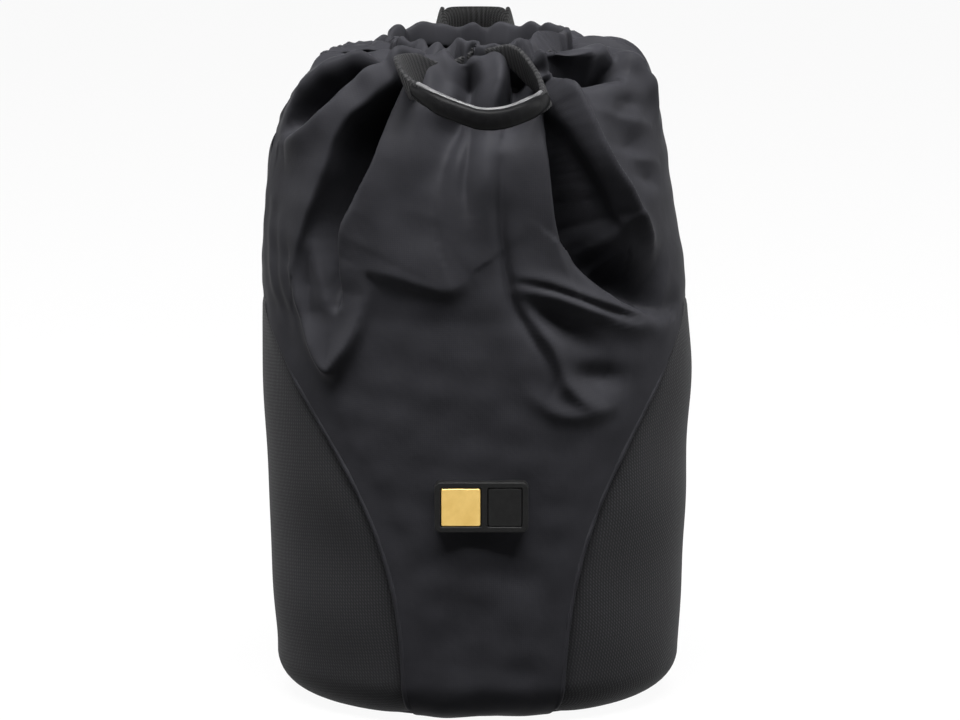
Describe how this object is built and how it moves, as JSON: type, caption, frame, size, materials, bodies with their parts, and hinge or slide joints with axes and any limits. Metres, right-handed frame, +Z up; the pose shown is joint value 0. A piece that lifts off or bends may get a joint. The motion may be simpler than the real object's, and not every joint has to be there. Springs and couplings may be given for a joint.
{
  "type": "drawstring camera pouch",
  "caption": "Padded oval drawstring pouch for a small camera: twill sides, satin front tongue, gathered collar with webbing pull loops at the neck, small badge and a belt loop.",
  "frame": {"origin": "middle of the base, on the surface that the pouch stands on", "axes": "+Z up along the pouch, front with the badge towards -Y, +X to the right seen from the front"},
  "size_m": [0.1108, 0.1163, 0.176],
  "materials": {
    "satin": "smooth satin nylon, soft sheen",
    "twill": "heavy twill, matte",
    "lining": "brushed lining, matte",
    "foam": "closed-cell foam sheet, matte",
    "board": "stiff base board",
    "webbing": "ribbed nylon webbing, matte",
    "grip": "smooth soft grip sleeve, satin gloss",
    "badge_rubber": "moulded rubber, semi-matte",
    "gold": "gold-coloured plate, satin gloss",
    "thread": "polyester thread"
  },
  "bodies": {
    "pouch": {"base_panel": "twill", "base_board": "board", "base_foam": "foam", "base_lining": "lining", "right_side_panel": "twill", "left_side_panel": "twill", "back_panel": "twill", "front_panel": "satin", "left_seam_welt": "satin", "right_seam_welt": "satin", "front_foam": "foam", "right_foam": "foam", "back_foam": "foam", "left_foam": "foam", "wall_lining": "lining", "foam_edge_binding": "webbing", "rear_collar": "satin", "rear_collar_lining": "lining", "rear_hem": "satin", "rear_drawstring": "webbing", "badge_frame": "badge_rubber", "badge_gold_plate": "gold", "badge_dark_plate": "badge_rubber", "belt_loop": "webbing", "lower_bartack": "thread", "upper_bartack": "thread"},
    "mouth_front": {"front_collar": "satin", "front_collar_lining": "lining", "front_hem": "satin", "front_drawstring": "webbing"},
    "front_pull": {"front_pull_strap": "webbing", "front_pull_grip": "grip"},
    "rear_pull": {"rear_pull_strap": "webbing", "rear_pull_grip": "grip"}
  },
  "joints": [
    {"name": "mouth_open", "type": "hinge", "parent": "pouch", "child": "mouth_front", "pos_m": [0, -0.0426, 0.105], "axis": [1, 0, 0], "range_deg": [0, 30]},
    {"name": "front_pull_swing", "type": "hinge", "parent": "mouth_front", "child": "front_pull", "pos_m": [0, -0.0214, 0.1707], "axis": [-1, 0, 0], "range_deg": [0, 100]},
    {"name": "rear_pull_swing", "type": "hinge", "parent": "pouch", "child": "rear_pull", "pos_m": [0, 0.0214, 0.1707], "axis": [1, 0, 0], "range_deg": [-20, 80]}
  ]
}
